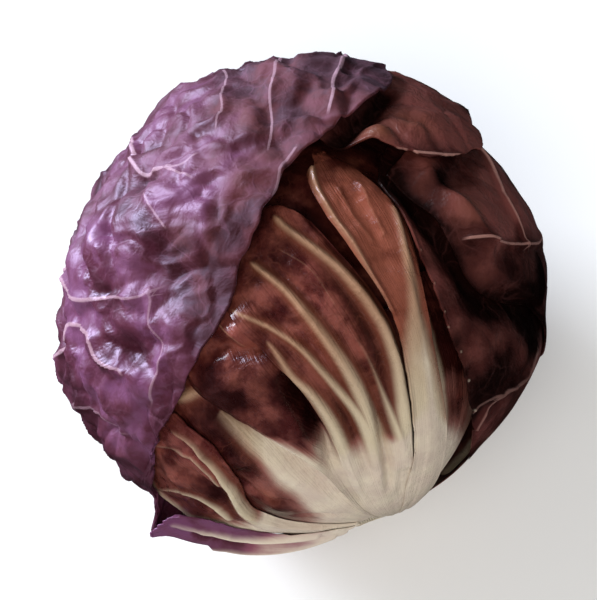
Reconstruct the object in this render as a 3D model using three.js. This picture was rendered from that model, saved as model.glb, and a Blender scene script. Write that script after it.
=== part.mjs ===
// A head of round radicchio, lying on its side as it settles on a table.
// Units are millimetres, +Z is up, and the origin is on the table under the middle of the head.
//
// Each leaf is a thin closed shell that wraps part of the head. A place on the head is written
// [turn, climb, reach]: degrees round the stalk's axis from the front (positive to the right), degrees up
// from the cut stalk (0) to the crown (180), and millimetres out from the middle of the head.

import * as THREE from "three";

// Driving dimensions.
const leafThickness = 1.5;
const heartRadius = 50;
const stalkRadius = 12.4;
const stalkEnd = 60; // from the middle of the head to the cut face
const stalkTrim = 1.2; // the cut face is narrower by this, where the knife rounded it off
const stalkGap = 1.2; // between the stalk and the heart
const flatSpotReach = 61; // from the middle of the head down to the table
const layerStep = 2.4; // from one pressed leaf to the next one above it
const tipBack = THREE.MathUtils.degToRad(-65); // the head falls back off its stalk
const leanLeft = THREE.MathUtils.degToRad(-24); // and rolls to one side
const cellsAcross = 12; // of the grid that makes a leaf
const cellsAlong = 14;
const heartSides = 28;
const stalkSides = 20;

const head = new THREE.Group();
head.rotation.set(tipBack, leanLeft, 0);
head.updateMatrix();
const toTable = head.matrix.clone();
const fromTable = toTable.clone().invert();

// The direction of a place on the head, in the head's own frame.
function direction(turn, climb) {
  const a = THREE.MathUtils.degToRad(turn);
  const b = THREE.MathUtils.degToRad(climb);
  return new THREE.Vector3(Math.sin(b) * Math.sin(a), -Math.sin(b) * Math.cos(a), -Math.cos(b));
}

// A smooth run through places, from the leaf's foot to its tip, as directions and reaches.
function run(places) {
  const heading = new THREE.CatmullRomCurve3(places.map(([turn, climb]) => direction(turn, climb)));
  const reach = new THREE.CatmullRomCurve3(places.map(([, , r], i) => new THREE.Vector3(i, r, 0)));
  return (v) => ({ heading: heading.getPoint(v).normalize(), reach: reach.getPoint(v).y });
}

// The direction at share t of the arc from one direction to another.
function alongArc(from, to, t) {
  const angle = from.angleTo(to);
  const a = Math.sin((1 - t) * angle) / Math.sin(angle);
  const b = Math.sin(t * angle) / Math.sin(angle);
  return from.clone().multiplyScalar(a).addScaledVector(to, b).normalize();
}

// Lifts a point that would lie lower than a height above the table up to that height.
function pressed(point, height) {
  const p = point.clone().applyMatrix4(toTable);
  p.z = Math.max(p.z, height - flatSpotReach);
  return p.applyMatrix4(fromTable);
}

// A leaf's two skins: a grid of points on its outside and on its inside.
function leafSkins({ left, rib, right, layer = 0 }) {
  const height = layer * layerStep;
  const runs = [left, rib, right].map(run);
  const outside = [];
  const inside = [];
  for (let j = 0; j <= cellsAlong; j++) {
    const [l, m, r] = runs.map((at) => at(j / cellsAlong));
    for (let i = 0; i <= cellsAcross; i++) {
      const u = (2 * i) / cellsAcross - 1;
      const side = u < 0 ? l : r;
      const heading = alongArc(m.heading, side.heading, Math.abs(u));
      const ease = u * u * (2 - Math.abs(u)); // the leaf is level across its rib
      const reach = THREE.MathUtils.lerp(m.reach, side.reach, ease);
      const over = heading.clone().multiplyScalar(reach);
      const under = heading.clone().multiplyScalar(reach - leafThickness);
      outside.push(pressed(over, height));
      inside.push(pressed(under, height + leafThickness));
    }
  }
  return { outside, inside };
}

// The closed shell between a leaf's two skins.
function leafGeometry(leaf) {
  const { outside, inside } = leafSkins(leaf);
  const row = cellsAcross + 1;
  const under = outside.length;
  const faces = [];
  const quad = (a, b, c, d) => faces.push(a, b, c, a, c, d);
  for (let j = 0; j < cellsAlong; j++) {
    for (let i = 0; i < cellsAcross; i++) {
      const a = j * row + i;
      quad(a, a + 1, a + row + 1, a + row);
      quad(under + a, under + a + row, under + a + row + 1, under + a + 1);
    }
  }
  const rim = [];
  for (let i = 0; i < cellsAcross; i++) rim.push(i);
  for (let j = 0; j < cellsAlong; j++) rim.push(j * row + cellsAcross);
  for (let i = cellsAcross; i > 0; i--) rim.push(cellsAlong * row + i);
  for (let j = cellsAlong; j > 0; j--) rim.push(j * row);
  rim.forEach((a, n) => {
    const b = rim[(n + 1) % rim.length];
    quad(a, a + under, b + under, b);
  });
  return new THREE.BufferGeometry().setFromPoints([...outside, ...inside]).setIndex(faces);
}

function colour(hex, roughness) {
  return new THREE.MeshStandardMaterial({ color: hex, roughness, metalness: 0 });
}

const wrapperPurple = colour(0x6b3a50, 0.45);
const wrapperMaroon = colour(0x4a2024, 0.5);
const innerRed = colour(0x6a2a22, 0.35);
const frillPurple = colour(0x6f3d55, 0.45);
const stalkCream = colour(0xd8caa0, 0.55);

// One leaf of the head, from the curves of its two edges and its rib.
function leaf(name, material, curves) {
  const mesh = new THREE.Mesh(leafGeometry(curves), material);
  mesh.name = name;
  return mesh;
}

// Outermost on the left: it wraps over the crown, and its free edge crosses the front.
function leftWrapperLeaf() {
  const left = [
    [-136, 20, 60.4], [-150, 50, 61], [-160, 85, 61.6],
    [-168, 118, 62], [-178, 142, 63.2], [150, 152, 64],
  ];
  const rib = [
    [-118, 18, 60.4], [-112, 50, 63], [-108, 85, 64.6],
    [-106, 118, 64.4], [-118, 150, 65.8], [120, 162, 66.8],
  ];
  const right = [
    [-108, 22, 60.4], [-92, 60, 61.8], [-46, 79, 60.6],
    [-17, 101, 61], [16, 126, 64], [88, 139, 67.8],
  ];
  return leaf("left_wrapper_leaf", wrapperPurple, { left, rib, right, layer: 1 });
}

// Outermost at the back: the head lies on it, so it carries the flat spot.
function backWrapperLeaf() {
  const left = [[166, 20, 62.8], [142, 50, 65], [128, 84, 66], [134, 116, 66], [160, 138, 66]];
  const rib = [[-174, 17, 62.8], [-172, 50, 65.6], [-174, 88, 66.4], [-178, 122, 66.4], [180, 148, 66]];
  const right = [
    [-152, 20, 62.8], [-134, 50, 66], [-126, 84, 67.2],
    [-134, 114, 67.2], [-162, 138, 66.6],
  ];
  return leaf("back_wrapper_leaf", wrapperMaroon, { left, rib, right });
}

// Comes up the back on the right and folds over the crown like a hood.
function crownWrapperLeaf() {
  const left = [
    [130, 20, 60], [118, 56, 62.4], [112, 94, 62.6],
    [106, 120, 63.8], [90, 116, 65.4], [72, 103, 66],
  ];
  const rib = [
    [152, 18, 60.2], [150, 58, 62.6], [148, 98, 62.6],
    [134, 136, 62], [72, 138, 63.2], [52, 111, 64.8],
  ];
  const right = [
    [172, 20, 60.2], [178, 58, 62.4], [-176, 98, 59.6],
    [-160, 138, 59.8], [18, 152, 60.4], [31, 127, 60.4],
  ];
  return leaf("crown_wrapper_leaf", wrapperMaroon, { left, rib, right, layer: 1 });
}

// Stands on the right shoulder, with its tip under the hood.
function shoulderWrapperLeaf() {
  const left = [
    [104, 22, 60.8], [100, 50, 63.6], [80, 77, 64],
    [52, 89, 61.6], [44, 106, 58.8], [50, 124, 57.6],
  ];
  const rib = [
    [114, 20, 60.8], [108, 48, 63.4], [96, 74, 64.4],
    [86, 96, 62.8], [80, 116, 60], [78, 130, 58.8],
  ];
  const right = [
    [122, 22, 58.8], [120, 50, 59.4], [117, 78, 59.6],
    [112, 100, 59.4], [106, 118, 59.2], [98, 132, 59],
  ];
  return leaf("shoulder_wrapper_leaf", wrapperMaroon, { left, rib, right });
}

// Covers the right side, with a free edge that runs down the front.
function rightWrapperLeaf() {
  const left = [
    [46, 30, 58.6], [38, 48, 59], [33, 68, 59],
    [32, 86, 58.8], [32, 104, 58.2], [36, 120, 56],
  ];
  const rib = [
    [66, 24, 59.4], [68, 44, 61], [68, 64, 61],
    [62, 84, 56.6], [58, 104, 55.6], [56, 120, 55],
  ];
  const right = [
    [86, 26, 59.4], [90, 46, 61], [92, 62, 61.6],
    [92, 84, 58.6], [86, 104, 57], [76, 120, 55],
  ];
  return leaf("right_wrapper_leaf", wrapperMaroon, { left, rib, right });
}

// A short leaf under the right wrapper, low beside the stalk.
function lowWrapperLeaf() {
  const left = [[48, 13, 59.8], [60, 26, 57], [78, 44, 58.2], [92, 64, 58.2]];
  const rib = [[100, 15, 57.2], [110, 34, 56.6], [114, 54, 56.6], [114, 76, 56.6]];
  const right = [[140, 18, 57.2], [152, 38, 57.4], [152, 60, 58], [142, 80, 57.8]];
  return leaf("low_wrapper_leaf", wrapperMaroon, { left, rib, right });
}

// A narrow leaf that is folded along its rib.
function foldedLeaf() {
  const left = [
    [10, 15, 60.2], [13, 45, 59.4], [16, 68, 58.2],
    [18, 88, 57.4], [16, 108, 57], [18, 126, 56.4],
  ];
  const rib = [
    [20, 14, 60.6], [19, 45, 60.2], [22, 66, 58.8],
    [24, 86, 58], [26, 106, 57.2], [26, 127, 56.4],
  ];
  const right = [
    [30, 15, 60.2], [29, 42, 59.4], [30, 62, 58.2],
    [28, 82, 57.4], [31, 104, 55.8], [32, 122, 54],
  ];
  return leaf("folded_leaf", innerRed, { left, rib, right });
}

// The middle leaf of the front, with the strongest ribs.
function ribbedLeaf() {
  const left = [
    [-8, 15, 60.4], [-7, 44, 59.2], [-9, 66, 57],
    [-11, 88, 55.6], [-18, 108, 54.6], [-20, 124, 53.6],
  ];
  const rib = [
    [0, 14, 60.6], [3, 44, 59.2], [5, 66, 56.6],
    [2, 88, 55.4], [-4, 110, 54.8], [-6, 128, 53.8],
  ];
  const right = [
    [7, 15, 60.4], [9, 44, 58.6], [18, 66, 54.8],
    [22, 88, 54.4], [17, 110, 54.2], [14, 132, 53.2],
  ];
  return leaf("ribbed_leaf", innerRed, { left, rib, right });
}

// A smooth leaf to the left of the ribbed one.
function glossyLeaf() {
  const left = [[-24, 17, 60.4], [-22, 46, 59.4], [-24, 66, 58.4], [-29, 78, 58.2], [-33, 90, 57.4]];
  const rib = [[-17, 15, 60.4], [-15, 46, 59.4], [-18, 66, 58], [-21, 80, 58], [-26, 96, 57.2]];
  const right = [[-10, 15, 60.4], [-9.5, 44, 59.4], [-12, 66, 57], [-13, 84, 56.4], [-20, 102, 56]];
  return leaf("glossy_leaf", innerRed, { left, rib, right });
}

// Lies deeper, between the glossy leaf and the ridged one.
function shadedLeaf() {
  const left = [[-40, 18, 57.6], [-44, 42, 56.8], [-50, 62, 55.6], [-54, 80, 55]];
  const rib = [[-27, 17, 57.6], [-28, 44, 56.6], [-32, 66, 55.6], [-38, 86, 55]];
  const right = [[-15, 17, 57.6], [-14, 46, 56.4], [-16, 70, 55], [-22, 90, 54.4]];
  return leaf("shaded_leaf", innerRed, { left, rib, right });
}

// Low on the left, under the free edge of the left wrapper.
function ridgedLeaf() {
  const left = [[-56, 20, 60], [-72, 42, 59.8], [-76, 58, 59], [-68, 76, 57.6]];
  const rib = [[-44, 18, 60.2], [-56, 42, 59.6], [-60, 60, 58.6], [-58, 78, 57.6]];
  const right = [[-28, 19, 60.2], [-41, 42, 59.4], [-40, 62, 58.6], [-46, 80, 57.6]];
  return leaf("ridged_leaf", innerRed, { left, rib, right });
}

// A short leaf low on the left, whose frilled tip turns outwards.
function frilledLeaf() {
  const left = [[-88, 20, 58], [-95, 34, 60], [-96, 46, 62], [-90, 54, 65]];
  const rib = [[-74, 17, 59], [-84, 32, 61], [-86, 46, 65], [-84, 57, 68]];
  const right = [[-60, 17, 60], [-76, 32, 61], [-79, 46, 63], [-79, 57, 66]];
  return leaf("frilled_leaf", frillPurple, { left, rib, right });
}

// Lies under the free edge of the right wrapper.
function shelteredLeaf() {
  const left = [[33, 17, 58], [32, 38, 55.6], [24, 60, 54], [24, 86, 52.6]];
  const rib = [[38, 16, 58], [42, 38, 55.6], [42, 60, 54], [40, 88, 52.4]];
  const right = [[45, 17, 57.6], [54, 36, 55.6], [60, 58, 53.8], [56, 84, 52.2]];
  return leaf("sheltered_leaf", innerRed, { left, rib, right });
}

// Lies between the left wrapper and the heart.
function leftBackingLeaf() {
  const left = [[-136, 22, 56], [-142, 60, 57.4], [-146, 100, 58], [-150, 132, 58]];
  const rib = [[-108, 20, 56], [-104, 60, 57.6], [-102, 100, 58.6], [-96, 138, 58.6]];
  const right = [[-88, 22, 55], [-72, 62, 54.2], [-50, 96, 55.4], [-24, 128, 56.6]];
  return leaf("left_backing_leaf", innerRed, { left, rib, right, layer: 2 });
}

// Lies between the back wrapper and the heart.
function backBackingLeaf() {
  const left = [[134, 22, 52], [126, 60, 53], [122, 100, 55.6], [128, 130, 56]];
  const rib = [[176, 20, 54], [174, 60, 55.4], [172, 100, 56.6], [170, 134, 56.6]];
  const right = [[-150, 22, 54], [-152, 60, 55.4], [-156, 100, 56], [-162, 130, 56]];
  return leaf("back_backing_leaf", innerRed, { left, rib, right, layer: 2 });
}

// The heart: the leaves folded tight round the stalk, as one closed body.
function heart() {
  const mesh = new THREE.Mesh(new THREE.SphereGeometry(heartRadius, heartSides, 16), innerRed);
  mesh.rotation.x = Math.PI / 2; // poles on the stalk's axis
  mesh.name = "heart";
  return mesh;
}

// The stalk, cut across just below the leaves.
function cutStalk() {
  const neck = heartRadius + stalkGap;
  const neckRadius = stalkRadius - 2 * stalkTrim;
  const outline = [
    [0, -stalkEnd],
    [stalkRadius - stalkTrim, -stalkEnd],
    [stalkRadius, -stalkEnd + stalkTrim],
    [neckRadius + stalkTrim, -neck - stalkTrim],
    [neckRadius, -neck],
    [0, -neck],
  ].map(([radius, y]) => new THREE.Vector2(radius, y));
  const mesh = new THREE.Mesh(new THREE.LatheGeometry(outline, stalkSides), stalkCream);
  mesh.rotation.x = Math.PI / 2;
  mesh.name = "cut_stalk";
  return mesh;
}

head.add(
  leftWrapperLeaf(),
  backWrapperLeaf(),
  crownWrapperLeaf(),
  shoulderWrapperLeaf(),
  rightWrapperLeaf(),
  lowWrapperLeaf(),
  foldedLeaf(),
  ribbedLeaf(),
  glossyLeaf(),
  shadedLeaf(),
  ridgedLeaf(),
  frilledLeaf(),
  shelteredLeaf(),
  leftBackingLeaf(),
  backBackingLeaf(),
  heart(),
  cutStalk(),
);

// The head rests on its flat spot, with the origin under the middle of its box.
head.updateMatrixWorld(true);
const box = new THREE.Box3().setFromObject(head, true);
const middle = box.getCenter(new THREE.Vector3());
head.position.set(-middle.x, -middle.y, -box.min.z);

const radicchio = new THREE.Group();
radicchio.name = "radicchio_head";
radicchio.add(head);
export default radicchio;
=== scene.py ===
import math
import bpy
import numpy as np
from mathutils import Matrix, Vector


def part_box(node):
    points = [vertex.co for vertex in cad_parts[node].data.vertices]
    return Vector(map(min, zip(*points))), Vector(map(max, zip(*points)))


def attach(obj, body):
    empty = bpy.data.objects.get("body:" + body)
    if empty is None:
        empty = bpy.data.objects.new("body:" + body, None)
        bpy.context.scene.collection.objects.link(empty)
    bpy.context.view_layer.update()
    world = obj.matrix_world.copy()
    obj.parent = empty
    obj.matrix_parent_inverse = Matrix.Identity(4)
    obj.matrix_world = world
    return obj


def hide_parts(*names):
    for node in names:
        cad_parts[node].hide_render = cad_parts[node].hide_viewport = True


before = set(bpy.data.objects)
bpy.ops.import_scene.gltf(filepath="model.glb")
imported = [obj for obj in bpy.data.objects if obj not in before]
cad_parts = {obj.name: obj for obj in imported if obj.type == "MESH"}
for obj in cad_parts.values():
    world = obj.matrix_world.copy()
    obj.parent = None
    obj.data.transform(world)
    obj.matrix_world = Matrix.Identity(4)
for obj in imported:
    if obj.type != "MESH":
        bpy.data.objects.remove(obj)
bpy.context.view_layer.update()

# A head of round radicchio on its side. Lengths in the dictionaries are millimetres, angles are degrees.
# A place on the head is (turn, climb, reach): turn round the stalk's axis from the front, climb from
# the cut stalk (0) to the crown (180), and reach out from the middle of the head.

mm = 0.001

head = {
    "tipBack": -65,  # the head has fallen back off its stalk
    "leanLeft": -24,  # and rolled to one side
    "flatSpotReach": 61,  # from the middle of the head down to the table
    "layerStep": 2.4,  # between pressed leaves
    "leafThickness": 0.6,
    "leafGap": 0.25,  # between a leaf and what it lies on
    "middleReach": 60,  # turns the angle between two places into millimetres
}

relief = {  # the surface that every leaf gets, where pairs are (height, size) in millimetres
    "noiseReach": 62,  # the patterns are taken at this reach from the middle of the head
    "puffCount": 300,
    "valleyWidth": 0.16,  # radians, from the middle of a valley to full height
    "creaseNarrow": 2.2,  # more makes a crease thinner
    "puffHeight": 1.2,
    "swell": (2.2, 19),
    "crease": (1.0, 17),
    "ridge": (0.7, 13),
    "ripple": (0.35, 6),
    "fineCreaseSize": 9,
    "fineRidge": (0.8, 7),
    "veinWidth": 0.7,  # a vein's share of the width that is set for it
    "tooth": (0.4, 0.55),
    "toothPale": 0.45,
}

heartLow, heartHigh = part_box("heart")
headMiddle = np.array((heartLow + heartHigh) / 2)
headTurn = np.array(
    Matrix.Rotation(math.radians(head["tipBack"]), 3, "X")
    @ Matrix.Rotation(math.radians(head["leanLeft"]), 3, "Y")
)

random = np.random.default_rng(11)
lattice = random.uniform(-1, 1, (32, 32, 32))
twist = np.linalg.qr(random.normal(size=(3, 3)))[0]
puffCentres = random.normal(size=(relief["puffCount"], 3))
puffCentres /= np.linalg.norm(puffCentres, axis=1)[:, None]


def heading(turn, climb):
    turn = np.radians(np.asarray(turn, float))
    climb = np.radians(np.asarray(climb, float))
    across = np.sin(climb)
    return np.stack([across * np.sin(turn), -across * np.cos(turn), -np.cos(climb)], -1)


def unit(vectors):
    return vectors / np.linalg.norm(vectors, axis=-1)[..., None]


def smoothRun(knots, share):  # a smooth curve through the knots
    knots = np.asarray(knots, float)
    ends = np.vstack([2 * knots[0] - knots[1], knots, 2 * knots[-1] - knots[-2]])
    way = np.clip(share, 0, 1) * (len(knots) - 1)
    i = np.minimum(way.astype(int), len(knots) - 2)
    t = (way - i)[:, None]
    a, b, c, d = ends[i], ends[i + 1], ends[i + 2], ends[i + 3]
    return 0.5 * (2 * b + (c - a) * t + (2 * a - 5 * b + 4 * c - d) * t**2 + (3 * b - a - 3 * c + d) * t**3)


def alongArc(start, end, t):
    angle = np.arccos(np.clip((start * end).sum(-1), -1, 1))[:, None]
    return unit((np.sin((1 - t) * angle) * start + np.sin(t * angle) * end) / np.sin(angle))


def step(low, high, value):  # 0 below low, 1 above high, smooth between
    t = np.clip((value - low) / (high - low), 0, 1)
    return t * t * (3 - 2 * t)


def softNoise(points, size, shift=0.0):  # smooth noise, about -0.6 to 0.6
    q = points @ twist / size + shift
    i = np.floor(q).astype(int)
    f = q - i
    f = f * f * (3 - 2 * f)
    total = 0
    for corner in np.ndindex(2, 2, 2):
        weight = np.prod(np.where(corner, f, 1 - f), axis=1)
        j = (i + corner) % 32
        total = total + weight * lattice[j[:, 0], j[:, 1], j[:, 2]]
    return total


def creases(points, size, shift=0.0):  # thin sharp lines, 1 on the line
    return np.clip(1 - relief["creaseNarrow"] * np.abs(softNoise(points, size, shift)), 0, 1) ** 2


def puffs(headings):  # rounded blisters that meet in sharp valleys, 0 in a valley to 1
    near = np.sort(np.arccos(np.clip(headings @ puffCentres.T, -1, 1)), axis=1)[:, :2]
    return np.clip((near[:, 1] - near[:, 0]) / relief["valleyWidth"], 0, 1) ** 0.6


def pathNear(headings, path, count=260):  # mm to a path over the head, the share of it there, and the side
    places = np.asarray(path, float)
    samples = unit(smoothRun(heading(places[:, 0], places[:, 1]), np.linspace(0, 1, count)))
    dots = headings @ samples.T
    best = dots.argmax(1)
    across = np.cross(np.gradient(samples, axis=0), samples)[best]
    side = np.where(((headings - samples[best]) * across).sum(1) < 0, -1, 1)
    near = head["middleReach"] * np.sqrt(np.clip(2 - 2 * dots.max(1), 0, None))
    return near, best / (count - 1), side


def spread(value, share):  # a number, or several spaced evenly along a path
    values = np.atleast_1d(np.asarray(value, float))
    return np.interp(share, np.linspace(0, 1, len(values)), values)


def spots(headings, places):  # soft round patches: (turn, climb, mm across half, amount)
    total = np.zeros(len(headings))
    for turn, climb, wideMm, amount in places:
        off = head["middleReach"] * np.sqrt(np.clip(2 - 2 * headings @ heading(turn, climb), 0, None))
        total += amount * np.exp(-((off / wideMm) ** 2))
    return total


# How far out the leaves that are already laid reach, for each degree of turn and climb.
covered = np.zeros((360, 181))


def degreesOf(headings):
    turn = np.degrees(np.arctan2(headings[:, 0], -headings[:, 1])) % 360
    climb = np.degrees(np.arccos(np.clip(-headings[:, 2], -1, 1)))
    return turn, climb


def spreadCover(grid):
    wide = np.maximum.reduce([np.roll(grid, s, 0) for s in (-1, 0, 1)])
    padded = np.pad(wide, ((0, 0), (1, 1)), mode="edge")
    wide = np.maximum.reduce([padded[:, s : s + 181] for s in (0, 1, 2)])
    for _ in range(2):
        padded = np.pad(wide, ((0, 0), (1, 1)), mode="edge")
        wide = (padded[:, :-2] + 2 * wide + padded[:, 2:]) / 4
        wide = (np.roll(wide, 1, 0) + 2 * wide + np.roll(wide, -1, 0)) / 4
    return wide


def footThin(climb):  # the leaves thin out where they join the stalk
    return 0.3 + 0.7 * step(40, 66, climb)


def layOver(headings, reach):  # lifts a leaf that would sink into the leaves under it
    turn, climb = degreesOf(headings)
    grid = spreadCover(covered)
    i, j = np.floor(turn).astype(int), np.minimum(np.floor(climb).astype(int), 179)
    s, t = turn - i, climb - j
    i, k = i % 360, (i + 1) % 360
    under = (1 - s) * (1 - t) * grid[i, j] + s * (1 - t) * grid[k, j]
    under += (1 - s) * t * grid[i, j + 1] + s * t * grid[k, j + 1]
    least = under + (head["leafThickness"] + head["leafGap"]) * footThin(climb)
    soft = 0.35 * footThin(climb)
    return reach + soft * np.logaddexp(0, (least - reach) / soft)


def cover(headings, reach):
    turn, climb = degreesOf(headings)
    place = (np.round(turn).astype(int) % 360, np.round(climb).astype(int))
    np.maximum.at(covered, place, reach)


def onTable(headings, reach, height):  # into the scene, pressed flat where it meets the table
    points = (headings * reach[:, None]) @ headTurn.T
    low = height - head["flatSpotReach"]
    points[:, 2] = np.maximum(points[:, 2], low + 0.15 * np.clip(low - points[:, 2], 0, 1))
    points[:, 2] = np.maximum(points[:, 2], low)
    return points * mm + headMiddle


def cornersOf(mesh):
    flat = np.empty(len(mesh.vertices) * 3)
    mesh.vertices.foreach_get("co", flat)
    return flat.reshape(-1, 3)


def addAttributes(mesh, **attributes):
    for name, values in attributes.items():
        layer = mesh.attributes.new(name, "FLOAT", "POINT")
        layer.data.foreach_set("value", np.ascontiguousarray(values, np.float32))


def finishPiece(piece, node, material):
    piece.data.materials.clear()
    piece.data.materials.append(material)
    bpy.ops.object.select_all(action="DESELECT")
    piece.select_set(True)
    bpy.context.view_layer.objects.active = piece
    bpy.ops.object.shade_smooth()
    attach(piece, "root")
    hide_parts(node)


def leafShape(leaf, u, v):  # u goes across the leaf, -1 to 1, and v from its foot to its tip
    # The edges wave a little, and the corners of the tip are rounded off.
    seed = leaf["seed"]
    wave = leaf.get("edgeWave", 0.04)
    edge = np.column_stack([np.sign(u) * 7.3, v * leaf.get("waves", 9), 0 * u])
    ripple = softNoise(edge, 1.0, seed) + 0.5 * softNoise(edge, 0.35, seed)
    wide = u + np.sign(u) * np.abs(u) ** 5 * wave * ripple
    tip = np.column_stack([u * 4, 0 * u + 3.7, 0 * u])
    notch = softNoise(tip, 1.0, seed) + 0.5 * softNoise(tip, 0.4, seed)
    tipShape = 0.06 * np.abs(u) ** 3 + wave * notch * 0.6
    far = v * (1 - v**6 * tipShape)

    runs = []
    for side in ("left", "rib", "right"):
        places = np.asarray(leaf[side], float)
        knots = np.column_stack([heading(places[:, 0], places[:, 1]), places[:, 2]])
        run = smoothRun(knots, far)
        runs.append((unit(run[:, :3]), run[:, 3]))
    (leftWay, leftReach), (ribWay, ribReach), (rightWay, rightReach) = runs
    sideWay = np.where((wide < 0)[:, None], leftWay, rightWay)
    sideReach = np.where(wide < 0, leftReach, rightReach)
    reachOut = np.abs(wide)
    headings = alongArc(ribWay, sideWay, reachOut[:, None])
    reach = ribReach + (sideReach - ribReach) * np.clip(reachOut**2 * (2 - reachOut), 0, 1.1)
    return headings, reach


def raiseLines(leaf, headings, reach, u):  # ribs, veins and teeth stand up, grooves go down
    rib, vein, blush = np.zeros(len(u)), np.zeros(len(u)), np.zeros(len(u))
    veinOff = np.full(len(u), 9.0)  # vein widths to the nearest vein, negative on one side
    for line in leaf.get("ribs", []):
        near, share, side = pathNear(headings, line["path"])
        width, height, strength = (spread(line[key], share) for key in ("width", "height", "pale"))
        width = width * (relief["veinWidth"] if line["thin"] else 1)
        fade = step(0, 0.04, share) * (1 - step(0.93, 1, share))
        reach = reach + height * np.exp(-((near / np.maximum(1.15 * width, 0.9)) ** 2)) * fade
        beside = np.exp(-(((near - 2.6 * width) / (1.3 * width)) ** 2))
        reach = reach - line["trough"] * beside * fade
        mask = strength * np.clip(1 - near / (2 * width), 0, 1) * fade
        if line["thin"]:
            closer = near / width < np.abs(veinOff)
            veinOff = np.where(closer, side * near / width, veinOff)
            vein = np.where(closer, strength * fade * (1 - step(1.4, 2.4, near)), vein)
        else:
            rib = np.maximum(rib, mask)
            blush = np.maximum(blush, strength * np.exp(-((near / (2.2 * width + 1)) ** 2)) * fade)
    for line in leaf.get("grooves", []):
        near, share, _ = pathNear(headings, line["path"])
        ends = np.sin(np.pi * np.clip(share, 0.02, 0.98)) ** 0.5
        reach = reach - line["depth"] * np.exp(-((near / line["width"]) ** 2)) * ends
    reach = reach + spots(headings, leaf.get("bumps", []))
    for side, (start, drop) in leaf.get("rollOff", {}).items():  # an edge that turns down
        reach = reach - drop * step(start, 1, u * side)
    for turn, high in leaf.get("teeth", []):
        height, size = relief["tooth"]
        off = spots(headings, [(turn, high, size, 1)])
        reach = reach + height * off
        rib = np.maximum(rib, relief["toothPale"] * off)
    return reach, {"rib": rib, "vein": vein, "veinOff": np.clip(veinOff, -4, 4), "blush": blush}


def crumpleBlade(leaf, headings, reach, climb, striae):  # less towards the thick, streaked foot
    seed = leaf["seed"]
    points = headings * relief["noiseReach"]
    blade = step(leaf.get("smoothTo", 30), leaf.get("smoothTo", 30) + 35, climb)
    crumple = leaf.get("crumple", 0.5)
    swell, crease, ridge, ripple = (relief[name] for name in ("swell", "crease", "ridge", "ripple"))
    fineHeight, fineSize = relief["fineRidge"]
    fine = creases(points, relief["fineCreaseSize"], seed + 11)
    fine = fine - fineHeight * creases(points, fineSize, seed + 12)
    reach = reach + blade * crumple * (
        relief["puffHeight"] * (puffs(headings) - 0.6)
        + swell[0] * softNoise(points, swell[1], seed)
        - crease[0] * creases(points, crease[1], seed + 5)
        + ridge[0] * creases(points, ridge[1], seed + 9)
        + ripple[0] * softNoise(points, ripple[1], seed + 2)
        - leaf.get("sharp", 0.2) * fine
    )
    return reach + (1 - blade) * 0.12 * softNoise(striae * 0.5, 1.0, seed)


def frillRim(leaf, headings, reach, u, v, climb):
    points = headings * relief["noiseReach"]
    rim = np.maximum(np.abs(u) ** 10, v**14) * step(35, 60, climb)
    return reach + rim * leaf.get("frill", 0.5) * (0.6 + 2 * softNoise(points, 7, leaf["seed"] + 4))


def leafColours(leaf, headings, u, climb, striae):  # pale foot, random lighter and darker patches with painted highlights and painted shade, brown patches
    seed = leaf["seed"]
    points = headings * relief["noiseReach"]
    paleTop = np.interp(u, np.linspace(-1, 1, len(leaf["paleTop"])), leaf["paleTop"])
    wobble = 9 * softNoise(points, 10, seed + 1) + 1.5 * softNoise(striae, 1.0, seed + 3)
    base = np.clip(0.5 + (paleTop - climb + wobble) / leaf.get("paleBlend", 18), 0, 1)
    # Lightness: random patches, plus a per-leaf shift that is partly painted shade, plus painted highlights
    # and painted shade.
    light = 0.45 + 0.5 * softNoise(points, 15, seed + 6)
    light = light + 0.25 * softNoise(points, 6, seed + 7)
    # Spots that raise or lower the lightness are painted highlights on bulges and painted shade in dents.
    light = np.clip(light + leaf.get("light", 0) + spots(headings, leaf.get("lightSpots", [])), 0, 1)
    # Strips that pull the lightness down are painted shade along valleys, slots, hood edges and the sides
    # of ribs.
    for path, wideMm, amount in leaf.get("paintedShadeStrips", []):
        light = light * (1 - amount * np.exp(-((pathNear(headings, path)[0] / wideMm) ** 2)))
    warm = leaf.get("warm", 0.2) * (1 + 0.9 * softNoise(points, 16, seed + 8))
    warm = np.clip(warm + spots(headings, leaf.get("warmSpots", [])), 0, 1)
    for path, wideMm in leaf.get("warmStrips", []):
        near = pathNear(headings, path)[0] + 5 * softNoise(points, 11, seed + 9)
        warm = np.maximum(warm, 0.95 * (1 - step(wideMm - 4, wideMm + 4, near)))
    return {"base": base, "light": light, "warm": warm, "up": climb / 180}


def giveThickness(piece, climb):
    thin = piece.vertex_groups.new(name="thickness")
    steps = np.round(footThin(climb) * 10).astype(int)
    for level in np.unique(steps):
        thin.add(np.flatnonzero(steps == level).tolist(), level / 10, "REPLACE")
    bpy.context.view_layer.objects.active = piece
    wall = piece.modifiers.new("wall", "SOLIDIFY")
    wall.thickness = head["leafThickness"] * mm
    wall.offset = -1
    wall.vertex_group = thin.name
    bpy.ops.object.modifier_apply(modifier=wall.name)


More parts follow.
